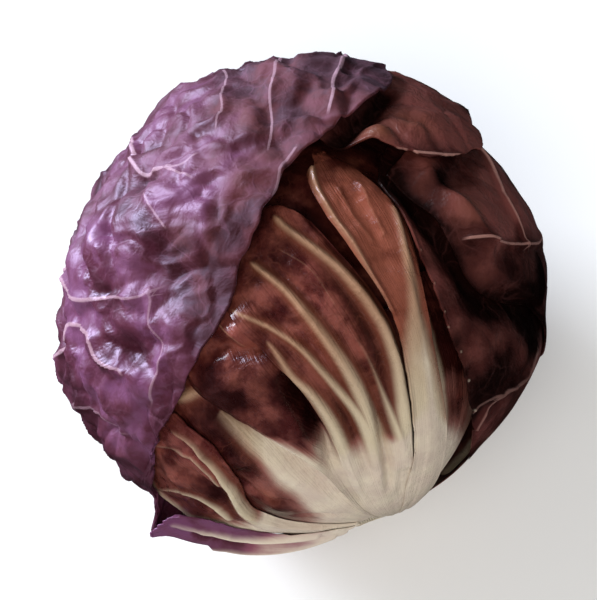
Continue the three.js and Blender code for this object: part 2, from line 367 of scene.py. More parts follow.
def makeLeaf(leaf):
    bpy.ops.object.select_all(action="DESELECT")
    across, along = leaf["cells"]
    bpy.ops.mesh.primitive_grid_add(x_subdivisions=across, y_subdivisions=along, size=2)
    piece = bpy.context.object
    piece.name = leaf["name"] + "_visual"
    mesh = piece.data
    flat = cornersOf(mesh)
    u = np.interp(flat[:, 0], *leaf.get("packAcross", ((-1, 1), (-1, 1))))
    v = np.interp((flat[:, 1] + 1) / 2, *leaf.get("packAlong", ((0, 1), (0, 1))))
    striae = np.column_stack([u * leaf.get("striae", 14), v * 1.5, 0 * u])
    headings, reach = leafShape(leaf, u, v)
    climb = degreesOf(headings)[1]
    reach, lines = raiseLines(leaf, headings, reach, u)
    reach = crumpleBlade(leaf, headings, reach, climb, striae)
    reach = frillRim(leaf, headings, reach, u, v, climb)
    reach = layOver(headings, reach)
    cover(headings, reach)
    places = onTable(headings, reach, leaf.get("layer", 0) * head["layerStep"])
    mesh.vertices.foreach_set("co", places.ravel())
    addAttributes(mesh, **lines)
    addAttributes(mesh, **leafColours(leaf, headings, u, climb, striae))
    mesh.update()
    giveThickness(piece, climb)
    finishPiece(piece, leaf["name"], materials[leaf["slot"]])
    print("leaf", leaf["name"], len(piece.data.polygons))


# Materials.
def addGroup(name, inputs, outputs):
    group = bpy.data.node_groups.new(name, "ShaderNodeTree")
    for label, kind, value in inputs:
        socket = group.interface.new_socket(name=label, in_out="INPUT", socket_type=kind)
        socket.default_value = value
    for label, kind in outputs:
        group.interface.new_socket(name=label, in_out="OUTPUT", socket_type=kind)
    return group, group.nodes.new("NodeGroupInput"), group.nodes.new("NodeGroupOutput")


def node(tree, kind, inputs=None, **settings):
    made = tree.nodes.new(kind)
    for key, value in settings.items():
        setattr(made, key, value)
    for key, value in (inputs or {}).items():
        if isinstance(value, bpy.types.NodeSocket):
            tree.links.new(value, made.inputs[key])
        else:
            made.inputs[key].default_value = value
    return made


def mixColour(tree, factor, first, second):
    made = tree.nodes.new("ShaderNodeMix")
    made.data_type = "RGBA"
    for index, value in ((0, factor), (6, first), (7, second)):
        if isinstance(value, bpy.types.NodeSocket):
            tree.links.new(value, made.inputs[index])
        else:
            made.inputs[index].default_value = value
    return made.outputs[2]


def mapRange(tree, value, low, high, outLow=0.0, outHigh=1.0):
    inputs = {"Value": value, "From Min": low, "From Max": high, "To Min": outLow, "To Max": outHigh}
    return node(tree, "ShaderNodeMapRange", inputs, interpolation_type="SMOOTHSTEP").outputs[0]


def maths(tree, operation, first, second=0.0):
    return node(tree, "ShaderNodeMath", {0: first, 1: second}, operation=operation).outputs[0]


def times(tree, first, second):
    return maths(tree, "MULTIPLY", first, second)


def plus(tree, first, second):
    return maths(tree, "ADD", first, second)


def noise(tree, place, scale, detail, roughness=0.5):
    inputs = {"Vector": place, "Scale": scale, "Detail": detail, "Roughness": roughness}
    return node(tree, "ShaderNodeTexNoise", inputs).outputs["Fac"]


def cellEdges(tree, place, scale):
    inputs = {"Vector": place, "Scale": scale}
    return node(tree, "ShaderNodeTexVoronoi", inputs, feature="DISTANCE_TO_EDGE").outputs["Distance"]


def attribute(tree, name):
    return node(tree, "ShaderNodeAttribute", attribute_name=name).outputs["Fac"]


def newMaterial(name):
    material = bpy.data.materials.new(name)
    material.use_nodes = True
    return material, material.node_tree, material.node_tree.nodes["Principled BSDF"]


def addBump(tree, shader, height, strength, distance):
    bump = node(tree, "ShaderNodeBump", {"Height": height, "Strength": strength, "Distance": distance})
    tree.links.new(bump.outputs[0], shader.inputs["Normal"])


def colour(red, green, blue):
    return (red, green, blue, 1)


skinPattern = {  # scales are per metre, and heights are shares of the bump's depth
    "bumpDepth": 0.0012,
    "warpScale": 110.0,
    "warp": 0.009,  # metres that the net is bent by
    "fineNet": 3.1,  # how much finer the small net is
    "patchScale": 60.0,
    "mottleScale": 140.0,
    "grainScale": 1300.0,
    "crumpleScale": 240.0,
    "swellScale": 170.0,
    "netHeight": 0.07,
    "swellHeight": 0.6,
    "grainHeight": 0.035,
}


def leafSkinGroup():  # the fine net of veins, the grain and the mottling of a leaf's skin
    look = skinPattern
    outs = [(label, "NodeSocketFloat") for label in ("Net", "Mottle", "Height")]
    starts = (("Net Size mm", 6.0), ("Crinkle", 0.5), ("Streaks", 0.2))
    ins = [(label, "NodeSocketFloat", value) for label, value in starts]
    group, entry, leave = addGroup("Leaf Skin", ins, outs)
    coordinates = node(group, "ShaderNodeTexCoord").outputs
    place = coordinates["Object"]
    warp = node(group, "ShaderNodeTexNoise", {"Vector": place, "Scale": look["warpScale"], "Detail": 2.0})
    halves = {0: warp.outputs["Color"], 1: (0.5, 0.5, 0.5)}
    nudge = node(group, "ShaderNodeVectorMath", halves, operation="SUBTRACT").outputs[0]
    small = node(group, "ShaderNodeVectorMath", {0: nudge, "Scale": look["warp"]}, operation="SCALE")
    bent = node(group, "ShaderNodeVectorMath", {0: place, 1: small.outputs[0]}, operation="ADD").outputs[0]
    scale = maths(group, "DIVIDE", 1000.0, entry.outputs["Net Size mm"])
    fineScale = times(group, scale, look["fineNet"])
    coarseLine = mapRange(group, cellEdges(group, bent, scale), 0.0, 0.055, 1.0, 0.0)
    fineLine = mapRange(group, cellEdges(group, bent, fineScale), 0.0, 0.09, 0.35, 0.0)
    patches = mapRange(group, noise(group, place, look["patchScale"], 2.0), 0.38, 0.62)
    net = times(group, maths(group, "MAXIMUM", coarseLine, fineLine), patches)
    group.links.new(net, leave.inputs["Net"])
    mottle = noise(group, place, look["mottleScale"], 6.0, 0.62)
    group.links.new(mapRange(group, mottle, 0.28, 0.72), leave.inputs["Mottle"])
    grain = noise(group, place, look["grainScale"], 3.0)
    crumpled = {"Vector": bent, "Scale": look["crumpleScale"], "Detail": 2.0, "Roughness": 0.6}
    crumple = node(group, "ShaderNodeTexVoronoi", crumpled).outputs["Distance"]
    stretch = node(group, "ShaderNodeMapping", {"Vector": coordinates["UV"], "Scale": (70.0, 5.0, 1.0)})
    streak = noise(group, stretch.outputs[0], 1.0, 3.0)
    swell = noise(group, bent, look["swellScale"], 2.0, 0.45)
    height = plus(group, times(group, net, look["netHeight"]), times(group, swell, look["swellHeight"]))
    height = plus(group, height, times(group, grain, look["grainHeight"]))
    height = plus(group, height, times(group, crumple, entry.outputs["Crinkle"]))
    height = plus(group, height, times(group, streak, entry.outputs["Streaks"]))
    group.links.new(height, leave.inputs["Height"])
    return group


def leafPaleGroup():  # how pale the foot, ribs and veins make each place
    outs = [(label, "NodeSocketFloat") for label in ("Foot", "Rib", "Vein", "Near Foot", "Near Rib")]
    group, entry, leave = addGroup("Leaf Pale Parts", [("Ragged", "NodeSocketFloat", 0.25)], outs)
    place = node(group, "ShaderNodeTexCoord")
    stretch = node(group, "ShaderNodeMapping", {"Vector": place.outputs["UV"], "Scale": (30.0, 4.0, 1.0)})
    streak = maths(group, "SUBTRACT", noise(group, stretch.outputs[0], 1.0, 4.0), 0.5)
    fuzz = maths(group, "SUBTRACT", noise(group, place.outputs["Object"], 420.0, 4.0), 0.5)
    speckle = times(group, fuzz, 0.5)
    shift = times(group, plus(group, streak, speckle), entry.outputs["Ragged"])
    value = {}
    for name, amount in (("base", 1.0), ("rib", 0.5), ("vein", 0.3), ("blush", 0.8)):
        value[name] = plus(group, attribute(group, name), times(group, shift, amount))
    group.links.new(mapRange(group, value["base"], 0.32, 1.0), leave.inputs["Foot"])
    group.links.new(mapRange(group, value["rib"], 0.18, 0.8), leave.inputs["Rib"])
    off = maths(group, "ABSOLUTE", attribute(group, "veinOff"))
    line = mapRange(group, plus(group, off, shift), 0.55, 1.25, 1.0, 0.0)
    group.links.new(times(group, line, value["vein"]), leave.inputs["Vein"])
    group.links.new(mapRange(group, value["base"], 0.02, 0.5), leave.inputs["Near Foot"])
    group.links.new(mapRange(group, value["blush"], 0.25, 0.9), leave.inputs["Near Rib"])
    return group


def leafMaterial(name, look):
    material, tree, shader = newMaterial(name)
    skin = node(tree, "ShaderNodeGroup", node_tree=groups["skin"])
    skin.inputs["Net Size mm"].default_value = look["netSize"]
    skin.inputs["Crinkle"].default_value = look["crinkle"]
    skin.inputs["Streaks"].default_value = look["streaks"]
    pale = node(tree, "ShaderNodeGroup", node_tree=groups["pale"])
    pale.inputs["Ragged"].default_value = look["ragged"]
    light = attribute(tree, "light")
    warm = attribute(tree, "warm")
    grain = maths(tree, "SUBTRACT", skin.outputs["Mottle"], 0.5)
    warm = plus(tree, warm, times(tree, grain, look["warmGrain"]))
    warm = node(tree, "ShaderNodeClamp", {"Value": warm}).outputs[0]
    up = attribute(tree, "up")
    mottle = times(tree, grain, look["mottle"])
    # The lightness level picks the tone: the darkest colour for random dark patches and painted shade, the
    # blade colour between, and the lightest colour for lighter patches and painted highlights.
    level = plus(tree, light, mottle)
    tone = mixColour(tree, mapRange(tree, level, 0.1, 0.55), look["dark"], look["blade"])
    tone = mixColour(tree, mapRange(tree, level, 0.5, 0.95), tone, look["lightPatchAndHighlight"])
    warmTone = mixColour(tree, mapRange(tree, level, 0.2, 0.9), look["warmDark"], look["warm"])
    tone = mixColour(tree, times(tree, warm, look["warmAmount"]), tone, warmTone)
    tone = mixColour(tree, times(tree, skin.outputs["Net"], look["netAmount"]), tone, look["net"])
    tone = mixColour(tree, times(tree, pale.outputs["Near Rib"], 0.75), tone, look["besideRib"])
    tone = mixColour(tree, times(tree, pale.outputs["Near Foot"], 0.7), tone, look["aboveFoot"])
    ribTone = mixColour(tree, mapRange(tree, up, 0.3, 0.5), look["ribLow"], look["ribHigh"])
    tone = mixColour(tree, pale.outputs["Rib"], tone, ribTone)
    footTone = mixColour(tree, skin.outputs["Mottle"], look["foot"], look["footShade"])
    tone = mixColour(tree, pale.outputs["Foot"], tone, footTone)
    tone = mixColour(tree, pale.outputs["Vein"], tone, look["veinColour"])
    tree.links.new(tone, shader.inputs["Base Color"])
    shine = mapRange(tree, skin.outputs["Mottle"], 0.0, 1.0, look["roughness"][0], look["roughness"][1])
    shine = plus(tree, shine, times(tree, pale.outputs["Foot"], 0.12))
    shine = plus(tree, shine, times(tree, warm, look.get("matt", 0.0)))  # a brown rim is duller
    tree.links.new(shine, shader.inputs["Roughness"])
    shader.inputs["Specular IOR Level"].default_value = look["specular"]
    shader.inputs["Specular Tint"].default_value = look.get("sheen", colour(1, 1, 1))
    shader.inputs["Coat Weight"].default_value = look["coat"]
    shader.inputs["Coat Roughness"].default_value = look["coatRoughness"]
    addBump(tree, shader, skin.outputs["Height"], look["bump"], skinPattern["bumpDepth"])
    return material


groups = {"skin": leafSkinGroup(), "pale": leafPaleGroup()}

cream = colour(0.72, 0.62, 0.475)
pinkCream = colour(0.60, 0.48, 0.385)
looks = {
    "waxy_leaf": {
        "dark": colour(0.055, 0.010, 0.019), "blade": colour(0.095, 0.017, 0.040),
        "lightPatchAndHighlight": colour(0.165, 0.050, 0.125), "warmDark": colour(0.045, 0.008, 0.008),
        "warm": colour(0.115, 0.026, 0.020), "warmAmount": 0.95, "warmGrain": -0.3,
        "net": colour(0.17, 0.06, 0.10), "netAmount": 0.35, "mottle": 0.5,
        "besideRib": colour(0.18, 0.06, 0.11), "aboveFoot": colour(0.30, 0.09, 0.13), "foot": cream,
        "footShade": pinkCream, "ribLow": cream, "ribHigh": colour(0.5, 0.33, 0.38),
        "veinColour": colour(0.40, 0.24, 0.30), "netSize": 8.0, "ragged": 0.4,
        "roughness": (0.33, 0.50), "specular": 1.0, "sheen": colour(0.80, 0.68, 1.0), "bump": 0.45,
        "crinkle": 0.32, "streaks": 0.05, "coat": 0.0, "coatRoughness": 0.3, "matt": 0.4,
    },
    "wrapper_leaf": {
        "dark": colour(0.006, 0.0012, 0.001), "blade": colour(0.056, 0.0105, 0.0095),
        "lightPatchAndHighlight": colour(0.17, 0.043, 0.040), "warmDark": colour(0.02, 0.004, 0.002),
        "warm": colour(0.13, 0.04, 0.018), "warmAmount": 0.8, "warmGrain": 0.2,
        "net": colour(0.10, 0.028, 0.026), "netAmount": 0.25, "mottle": 0.3,
        "besideRib": colour(0.14, 0.045, 0.035), "aboveFoot": colour(0.2, 0.05, 0.05), "foot": cream,
        "footShade": pinkCream, "ribLow": cream, "ribHigh": colour(0.50, 0.32, 0.24),
        "veinColour": colour(0.40, 0.20, 0.17), "netSize": 8.0, "ragged": 0.3, "roughness": (0.4, 0.55),
        "specular": 0.4, "bump": 0.4, "crinkle": 0.45, "streaks": 0.1, "coat": 0.0,
        "coatRoughness": 0.3,
    },
    "inner_leaf": {
        "dark": colour(0.018, 0.0028, 0.0028), "blade": colour(0.060, 0.0095, 0.0088),
        "lightPatchAndHighlight": colour(0.19, 0.046, 0.040), "warmDark": colour(0.060, 0.010, 0.006),
        "warm": colour(0.29, 0.082, 0.045), "warmAmount": 0.9, "warmGrain": 0.5,
        "net": colour(0.16, 0.045, 0.026), "netAmount": 0.3, "mottle": 0.5,
        "besideRib": colour(0.18, 0.050, 0.026), "aboveFoot": colour(0.33, 0.12, 0.095), "foot": cream,
        "footShade": pinkCream, "ribLow": colour(0.62, 0.52, 0.36), "ribHigh": colour(0.36, 0.20, 0.12),
        "veinColour": colour(0.38, 0.2, 0.12), "netSize": 6.0, "ragged": 0.12,
        "roughness": (0.26, 0.45), "specular": 0.6, "sheen": colour(0.86, 0.82, 1.0), "bump": 0.6,
        "crinkle": 0.3, "streaks": 0.45, "coat": 0.35, "coatRoughness": 0.14,
    },
}
materials = {name: leafMaterial(name, look) for name, look in looks.items()}
print("materials made")

# The leaves, from the inside of the head outwards. Each has an edge, a middle and an edge as places
# (turn, climb, reach) from foot to tip, and its ribs, veins and grooves as paths of (turn, climb).
# A leaf's overall lightness shift, its spots and its dark strips are painted highlights and painted shade
# in its colour.
leaves = []


def ribAt(path, width, height, pale=1, trough=0):
    return {"path": path, "width": width, "height": height, "pale": pale, "trough": trough, "thin": False}


def veinAt(path, width, height, pale=1):
    return {"path": path, "width": width, "height": height, "pale": pale, "trough": 0, "thin": True}


def grooveAt(path, width, depth):
    return {"path": path, "width": width, "depth": depth}


leaves.append({
    "name": "back_backing_leaf", "slot": "inner_leaf", "seed": 1, "cells": (90, 100), "layer": 2,
    "left": [(134, 22, 52), (126, 60, 53), (122, 100, 55.6), (128, 130, 56)],
    "rib": [(176, 20, 54), (174, 60, 55.4), (172, 100, 56.6), (170, 134, 56.6)],
    "right": [(-150, 22, 54), (-152, 60, 55.4), (-156, 100, 56), (-162, 130, 56)],
    "ribs": [
        ribAt([(176, 20), (174, 60), (172, 100), (170, 130)], (4, 1.5), (1.5, 0.6)),
    ],
    "paleTop": (35, 55, 35),
})
leaves.append({
    "name": "left_backing_leaf", "slot": "inner_leaf", "seed": 2, "cells": (110, 110), "layer": 2,
    "left": [(-136, 22, 56), (-142, 60, 57.4), (-146, 100, 58), (-150, 132, 58)],
    "rib": [(-108, 20, 56), (-104, 60, 57.6), (-102, 100, 58.6), (-96, 138, 58.6)],
    "right": [(-88, 22, 55), (-72, 62, 54.2), (-50, 96, 55.4), (-24, 128, 56.6)],
    "ribs": [
        ribAt([(-108, 20), (-104, 60), (-102, 100), (-96, 134)], (4, 1.5), (1.5, 0.6)),
    ],
    "paleTop": (35, 55, 35),
})
leaves.append({
    "name": "sheltered_leaf", "slot": "inner_leaf", "seed": 3, "cells": (90, 120),
    "left": [(26, 17, 59), (27, 38, 57), (22, 60, 54.6), (22, 86, 52.6)],
    "rib": [(36, 16, 59.4), (38, 38, 57.4), (38, 60, 55), (38, 88, 52.4)],
    "right": [(45, 17, 58.6), (54, 36, 56.4), (60, 58, 53.8), (56, 84, 52.2)],
    "ribs": [
        ribAt([(33, 20), (32, 44), (33, 62), (34, 80)], (2.5, 1.0), (0.3, 0.8), (1, 0.3)),
    ],
    "paleTop": (52, 48, 40), "crumple": 0.4, "light": -0.25,
})
leaves.append({
    "name": "shaded_leaf", "slot": "inner_leaf", "seed": 4, "cells": (120, 150),
    "left": [(-44, 18, 59.2), (-58, 40, 57.6), (-56, 60, 56.2), (-56, 82, 55)],
    "rib": [
        (-25, 17, 59.8), (-30, 40, 59), (-30.5, 52, 58.6), (-31, 64, 58.2), (-35, 76, 57.4),
        (-40, 88, 56),
    ],
    "right": [(-10, 17, 59.6), (-12, 46, 57.4), (-17, 70, 55), (-26, 92, 54.4)],
    "ribs": [
        ribAt([(-18, 48), (-23, 60), (-26.5, 70), (-30, 78)], (3, 2.4, 1.6), 0.1, (1, 0.8, 0.4)),
        ribAt([(-30, 84), (-35, 84), (-40, 84)], 1.6, 0.8, (0.6, 0.8, 0.5)),
    ],
    "grooves": [
        grooveAt([(-14, 40), (-18, 54), (-22.5, 67), (-26.5, 76), (-29, 82)], 3.4, 3.4),
        grooveAt([(-30, 42), (-33, 46), (-38, 52), (-37, 60)], 1.4, 1.4),
        grooveAt([(-22, 36), (-25, 44), (-26, 52)], 2.0, 0.8),
        grooveAt([(-20, 28), (-30, 35), (-38, 38)], 0.9, 0.9),
    ],
    "bumps": [(-34, 64, 4, 1.0), (-36, 76, 4, 1.0), (-34, 49, 3, 1.0), (-37, 44, 4, 0.9)],
    "paleTop": (32, 34, 37, 45, 64, 76, 80), "paleBlend": 24, "crumple": 0.35,
    "warmSpots": [(-33, 50, 3, 0.9), (-36, 46, 2, 0.5)], "light": -0.05,
    "lightSpots": [(-36, 60, 5, -0.2), (-25, 62, 8, -0.22), (-24, 76, 7, -0.3)],
})
leaves.append({
    "name": "glossy_leaf", "slot": "inner_leaf", "seed": 5, "cells": (140, 170),
    "left": [
        (-14, 16, 60.2), (-12, 38, 60), (-13, 51, 59.8), (-16, 60, 59.6), (-20.5, 68.6, 59.6),
        (-26, 77, 59.6), (-31, 85, 59.2), (-33, 94, 58.2), (-36, 103, 57),
    ],
    "rib": [
        (-9, 15, 60.4), (-10, 38, 59.8), (-9, 54, 59), (-11, 66, 59.2), (-15, 77, 59.4), (-18, 87, 59),
        (-20, 96, 58.2), (-24, 106, 57),
    ],
    "right": [
        (2, 15, 60), (0, 40, 59), (1, 58, 57), (0, 72, 55.6), (-2, 84, 55.6), (-7, 95, 56),
        (-13, 106, 55.4),
    ],
    "ribs": [
        veinAt([(-14, 90), (-17, 96), (-20, 102)], 0.35, 0.5, 0.3),
        ribAt([(-12, 40), (-13.5, 51), (-16.5, 60), (-21, 68.6), (-26, 76)],
            (3, 2, 1.2, 0.8), 0.4, (1, 0.8, 0.45, 0.25)),
    ],
    "grooves": [
        grooveAt([(-8, 79), (-7.4, 74), (-7, 66), (-7.2, 58), (-8.2, 52)], 2.0, 9),
        grooveAt([(-24, 93), (-21, 92), (-17.5, 92), (-15, 89.6), (-10, 88), (-6, 88), (-3, 85)], 1.8, 2.4),
        grooveAt([(-9, 56), (-10, 48), (-8.5, 38), (-4, 32)], 2.2, 1.6),
        grooveAt([(-17, 84), (-20, 78), (-19, 72)], 2.5, 0.8),
    ],
    "bumps": [(-13, 95, 3.4, 2.4), (-16, 82, 6, 1.3), (-23, 84, 5, 0.8), (-11, 83, 3, 0.8)],
    "rollOff": {-1: (0.85, 1.0)},
    "paintedShadeStrips": [([(-8, 78), (-7.4, 74), (-7, 66), (-7.2, 58), (-8, 54)], 2.6, 1.0)],
    "paleTop": (66, 56, 58, 54, 50), "paleBlend": 14, "crumple": 0.22, "edgeWave": 0.01,
    "lightSpots": [(-14, 95, 5, 0.3), (-20, 88, 6, -0.2), (-16, 74, 5, 0.15)],
    "frill": 0.1,
})
leaves.append({
    "name": "ribbed_leaf", "slot": "inner_leaf", "seed": 6, "cells": (215, 225),
    "left": [
        (-8, 14, 60.4), (-8, 34, 60.2), (-6.5, 48, 59.8), (-5, 57, 59.6), (-4.9, 66, 59.4),
        (-6, 75, 59.2), (-9, 85, 58.6), (-13, 95, 57.6), (-15, 106, 56.4), (-8, 117, 55.6),
    ],
    "rib": [
        (5, 13, 61), (6, 33, 60.6), (7, 46, 60), (7.5, 56, 59.2), (8, 66, 58.6), (7, 77, 58),
        (5.5, 89, 57.2), (3, 101, 56.6), (1, 111, 56), (4, 121, 55.2),
    ],
    "right": [
        (16, 14, 60.8), (17, 34, 60.6), (18, 47, 60), (19.5, 57, 59.2), (21, 66, 58.4),
        (21.8, 76, 57.8), (21, 86, 57.2), (18.5, 97, 56.8), (15.5, 108, 56.2), (13.5, 118, 55.4),
    ],
    "ribs": [
        ribAt([(14, 38), (15.5, 50), (16.7, 59), (17.5, 65), (18.6, 72), (18.8, 80), (17.9, 86),
             (16.5, 92), (14.4, 98.7), (10.8, 106), (6.9, 113.6), (5, 119)],
            (3.0, 1.6, 1.3, 1.1, 0.8), (0.4, 1.7, 1.5, 1.3, 0.9), (1, 1, 1, 0.95, 0.75), trough=0.3),
        ribAt([(5, 38), (6.3, 50), (7.1, 58), (7, 66), (6.2, 75.7), (4.8, 83), (2.8, 91), (0.7, 98),
             (-2.9, 105.2), (-6, 110)],
            (2.8, 1.7, 1.3, 1.0, 0.7), (0.4, 1.6, 1.4, 1.2, 0.8), (1, 1, 1, 0.9, 0.7), trough=0.3),
        ribAt([(14, 40), (13.6, 48), (13.1, 54), (12.7, 61), (12.4, 68), (12, 76), (10.5, 85)],
            (1.8, 1.2, 0.8, 0.5), (0.4, 1.0, 0.7, 0.4), (1, 0.8, 0.5, 0.25)),
        ribAt([(3, 44), (4.7, 57), (4.4, 63), (3, 69), (0.8, 77), (-1.5, 84), (-5.1, 90.2), (-9.5, 95.5),
             (-15, 101)], (1.6, 1.0, 0.7, 0.5), (0.5, 1.0, 0.9, 0.6), (1, 0.95, 0.85, 0.65), trough=0.25),
        ribAt([(-5, 40), (-4.5, 48), (-3.6, 56), (-2.9, 62), (-3.2, 68.6), (-4.4, 74), (-6.4, 79),
             (-7.4, 86), (-9, 91)], (2.4, 1.5, 1.2, 0.6), (0.4, 1.2, 1.4, 0.6), (1, 1, 0.9, 0.5)),
        veinAt([(10, 90), (8, 101), (3, 109)], 0.3, 0.4, 0.15),
    ],
    "grooves": [
        grooveAt([(9.6, 68), (9.4, 60), (8.4, 52), (7, 43), (5, 35)], 1.4, 2.8),
        grooveAt([(1, 70), (1, 60), (1, 52), (1, 44)], 1.5, 1.2),
        grooveAt([(3.2, 76), (0, 86), (-4, 94), (-9, 100)], 1.6, 1.0),
        grooveAt([(12, 100), (14.5, 90), (15.5, 80), (15.5, 70)], 2.0, 0.9),
        grooveAt([(5, 94), (2, 102), (-2, 108)], 1.8, 1.2),
        grooveAt([(-2, 46), (-4, 38), (-5, 30)], 1.4, 0.8),
        grooveAt([(12, 44), (10, 36), (8, 28)], 1.6, 0.7),
    ],
    "bumps": [(8, 118, 4, 1.2), (-5, 101, 4, 0.6), (9, 98, 4, 0.7), (1, 92, 3, 0.5)],
    "rollOff": {-1: (0.8, 1.2), 1: (0.82, 1.6)},
    "paintedShadeStrips": [
        ([(20.6, 58), (21.4, 72), (20.6, 86), (17.5, 100)], 1.6, 0.8),
        ([(12, 103), (14, 92), (15, 80), (15, 70), (14.5, 62)], 2.2, 0.7),
        ([(0, 103), (4, 94), (6.5, 84), (8.5, 74)], 1.4, 0.6),
    ],
    "paleTop": (56, 55, 57), "paleBlend": 11, "crumple": 0.3, "smoothTo": 50, "edgeWave": 0.01,
    "frill": 0.1,
    "warmSpots": [
        (5, 74, 3, 0.5), (2, 68, 3, 0.4), (12, 70, 4, 0.7), (15, 84, 4, 0.5), (8, 117, 5, 0.3),
    ],
    "lightSpots": [
        (9, 117, 6, 0.4), (-4, 100, 5, 0.35), (-1, 78, 5, 0.3), (4, 78, 4, 0.2), (2, 92, 4, 0.2),
    ],
})
leaves.append({
    "name": "folded_leaf", "slot": "inner_leaf", "seed": 7, "cells": (140, 250),
    "left": [
        (8, 15, 60.6), (12, 33, 60.8), (17, 48, 60.4), (18.5, 59, 60), (20.4, 71, 59.8),
        (21.3, 81, 59.6), (20, 91, 59.6), (18.8, 101, 59.2), (17.8, 111, 58.8), (18.6, 120, 58),
        (22.5, 128, 57),
    ],
    "rib": [
        (21, 14, 61.2), (22, 32, 61.4), (23, 46, 61.2), (24, 58, 60.8), (25, 69, 60.4), (26, 80, 60.4),
        (26, 92, 60.2), (27, 104, 59.4), (27, 116, 58.6), (28, 128, 57.2),
    ],
    "right": [
        (32, 15, 60.6), (32, 33, 60.8), (31, 46, 60.4), (30, 58, 59.8), (29.5, 68, 59.4),
        (30.5, 78, 59.2), (32.5, 87, 59), (36, 97, 58), (38, 106, 57.2), (37, 114, 56.4),
        (35, 122, 55.6),
    ],
    "ribs": [
        ribAt([(22, 40), (22.5, 52), (22.7, 64), (24, 72), (25.6, 79), (27.2, 84.3), (29.1, 90.3),
             (31.3, 96.4), (34, 103), (35, 108)],
            (5.5, 4, 1.9, 1.3, 1.0), (0.3, 0.6, 1.4, 1.6, 1.0), (1, 1, 0.95, 0.85, 0.6)),
        ribAt([(21, 82), (20.2, 92), (19.8, 101), (18.9, 110), (19.6, 119), (23, 126.5)],
            0.9, 1.2, (0.4, 0.65, 0.7)),
        veinAt([(25, 100), (24, 108), (25, 117)], 0.4, 0.5, 0.12),
        veinAt([(28, 100), (29, 108), (31, 116)], 0.4, 0.5, 0.12),
    ],
    "grooves": [
        grooveAt([(26, 122), (26, 110), (25, 98), (23, 88)], 3.2, 1.5),
        grooveAt([(29.5, 92), (28.5, 84), (27.5, 76)], 1.2, 1.0),
    ],
    "bumps": [(22, 123, 4, 0.8), (32, 112, 3, 0.8), (22, 104, 3, 0.6)],
    "rollOff": {-1: (0.86, 0.8), 1: (0.8, 1.2)}, "paleTop": (62, 68, 52), "paleBlend": 12,
    "crumple": 0.3, "smoothTo": 50, "striae": 9, "frill": 0.1, "warm": 0.85, "light": 0.3,
    "lightSpots": [(24, 92, 6, 0.3), (22, 110, 7, 0.5), (30, 124, 5, -0.4)],
})
leaves.append({
    "name": "ridged_leaf", "slot": "inner_leaf", "seed": 8, "cells": (170, 170),
    "left": [
        (-52, 20, 60), (-68, 38, 61), (-79, 50, 61.4), (-80, 60, 60.8), (-74, 70, 59.6),
        (-64, 80, 58.4),
    ],
    "rib": [
        (-40, 18, 60.4), (-54, 38, 60.6), (-60, 50, 60), (-60, 60, 59.4), (-58, 70, 58.8),
        (-54, 80, 58.2),
    ],
    "right": [
        (-24, 19, 60.4), (-38, 29, 60.4), (-46, 38, 60.4), (-45, 47, 60.4), (-39.5, 54, 60.4),
        (-36, 60, 60.4), (-34.8, 66, 60.2), (-35.5, 72, 59.8), (-39, 78, 59.2), (-44, 83, 58.4),
    ],
    "rollOff": {1: (0.82, 2.2)},
    "ribs": [
        ribAt([(-36, 24), (-48, 34), (-51, 41), (-47.5, 48), (-42.8, 53.8), (-39.8, 58.7), (-38, 64.7),
             (-38.4, 69.6), (-40.6, 74.7), (-45, 80)],
            (3.5, 2.0, 1.3, 0.9, 0.8, 0.7), (0.3, 0.8, 1.3, 1.5, 1.0), (1, 1, 0.95, 0.8, 0.55, 0.4)),
        ribAt([(-57, 77), (-50, 73.5), (-43.5, 70), (-41.5, 65), (-41.5, 59)], 0.8, 0.9, (0.35, 0.5, 0.55)),
        ribAt([(-72, 63), (-64, 62), (-57, 60), (-53.5, 56), (-55, 51), (-60, 46)],
            (0.7, 0.9, 1.6), 1.2, (0.35, 0.6, 0.9)),
        ribAt([(-50, 34), (-62, 41), (-71, 46), (-77, 53), (-77.5, 60), (-72, 66), (-64, 72)],
            (2.5, 2.0, 1.4, 0.9), (0.3, 1.2, 1.4, 0.8), (1, 0.9, 0.6, 0.4)),
    ],
    "grooves": [
        grooveAt([(-52, 68), (-48, 62), (-47, 56), (-52, 50)], 2.6, 2.0),
        grooveAt([(-70, 58), (-64, 56), (-61, 50), (-66, 46)], 2.2, 1.6),
        grooveAt([(-56, 74), (-48, 72.5), (-44, 72)], 1.2, 1.2),
    ],
    "bumps": [(-56, 65, 4, 0.8), (-66, 52, 3, 0.6), (-74, 52, 3, 0.8)],
    "paleTop": (40, 41, 42, 43, 44), "paleBlend": 10, "crumple": 0.45, "frill": 0.3,
    "lightSpots": [(-50, 60, 5, -0.2), (-66, 54, 4, -0.2), (-56, 65, 3, 0.25)],
})
leaves.append({
    "name": "low_wrapper_leaf", "slot": "wrapper_leaf", "seed": 9, "cells": (100, 110),
    "left": [(44, 13, 60), (56, 24, 60.4), (68, 36, 60.2), (84, 60, 58.8)],
    "rib": [(100, 15, 60), (106, 32, 60.6), (112, 54, 58.8), (114, 76, 57.6)],
    "right": [(140, 18, 58.4), (152, 38, 58.4), (152, 60, 58), (142, 80, 57.8)],
    "ribs": [
        ribAt([(100, 15), (106, 32), (112, 54), (114, 74)], (3, 1.5), (1.2, 0.5)),
    ],
    "paleTop": (2, 4, 10), "light": -0.15,
})
